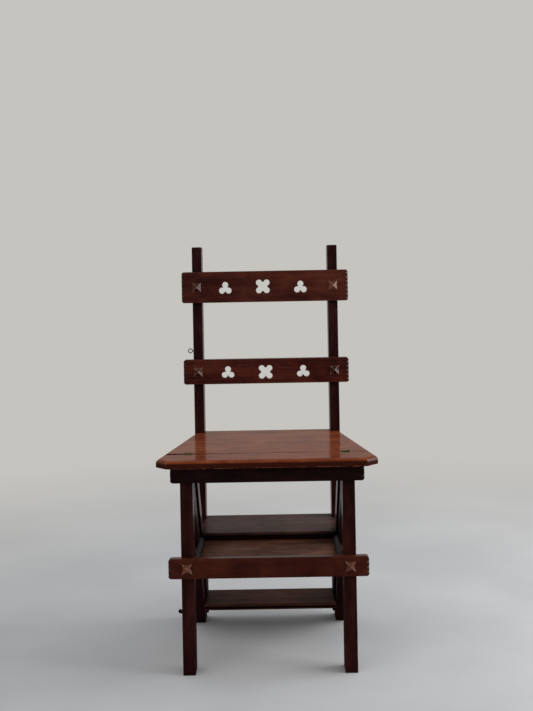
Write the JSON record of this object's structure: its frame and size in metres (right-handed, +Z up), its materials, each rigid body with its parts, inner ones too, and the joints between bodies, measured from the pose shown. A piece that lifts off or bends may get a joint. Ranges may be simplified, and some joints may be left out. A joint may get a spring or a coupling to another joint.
{
  "type": "folding step chair",
  "caption": "Wooden side chair with a pierced rail back that folds over its seat hinges into a flight of library steps.",
  "frame": {"origin": "on the floor under the middle of the chair's box, left to right and front to back", "axes": "+Z up, +X to the right and -Y to the front as the chair faces the picture's viewer, so +Y goes to the back"},
  "size_m": [0.447, 0.429, 0.882],
  "materials": {
    "upright_wood": "french polish",
    "brace_wood": "french polish",
    "rail_wood": "french polish",
    "seat_wood": "french polish, worn",
    "tread_wood": "french polish, worn",
    "peg_wood": "french polish",
    "dowel_wood": "plain",
    "hinge_brass": "tarnished",
    "screw_steel": "dull",
    "hook_iron": "black"
  },
  "bodies": {
    "front_frame": {"front_leg_left": "upright_wood", "front_leg_right": "upright_wood", "front_brace_left": "brace_wood", "front_brace_right": "brace_wood", "apron": "rail_wood", "front_rail": "rail_wood", "front_rail_pegs": "peg_wood", "tread_first": "tread_wood", "tread_first_beads": "tread_wood", "seat_front_board": "seat_wood", "front_dowels": "dowel_wood", "hinge_front_leaf_left": "hinge_brass", "hinge_front_leaf_right": "hinge_brass", "hinge_pin_left": "hinge_brass", "hinge_pin_right": "hinge_brass", "hinge_front_screws": "screw_steel", "hook_pivot_screw": "screw_steel"},
    "back_frame": {"back_post_left": "upright_wood", "back_post_right": "upright_wood", "back_brace_left": "brace_wood", "back_brace_right": "brace_wood", "seat_side_rail_left": "brace_wood", "seat_side_rail_right": "brace_wood", "seat_rear_rail": "rail_wood", "seat_back_board": "seat_wood", "back_dowels": "dowel_wood", "middle_rail": "rail_wood", "middle_rail_pegs": "peg_wood", "top_rail": "rail_wood", "top_rail_pegs": "peg_wood", "tread_third": "tread_wood", "tread_fourth": "tread_wood", "post_ring": "hook_iron", "hinge_back_leaf_left": "hinge_brass", "hinge_back_leaf_right": "hinge_brass", "hinge_back_screws": "screw_steel", "hook_stud": "screw_steel"},
    "side_hook": {"side_hook": "hook_iron"}
  },
  "joints": [
    {"name": "seat_hinge", "type": "hinge", "parent": "front_frame", "child": "back_frame", "pos_m": [0, -0.1315, 0.445], "axis": [1, 0, 0], "range_deg": [0, 180]},
    {"name": "hook_pivot", "type": "hinge", "parent": "front_frame", "child": "side_hook", "pos_m": [-0.18005, 0.02251, 0.20506], "axis": [1, 0, 0], "range_deg": [0, 195]}
  ]
}
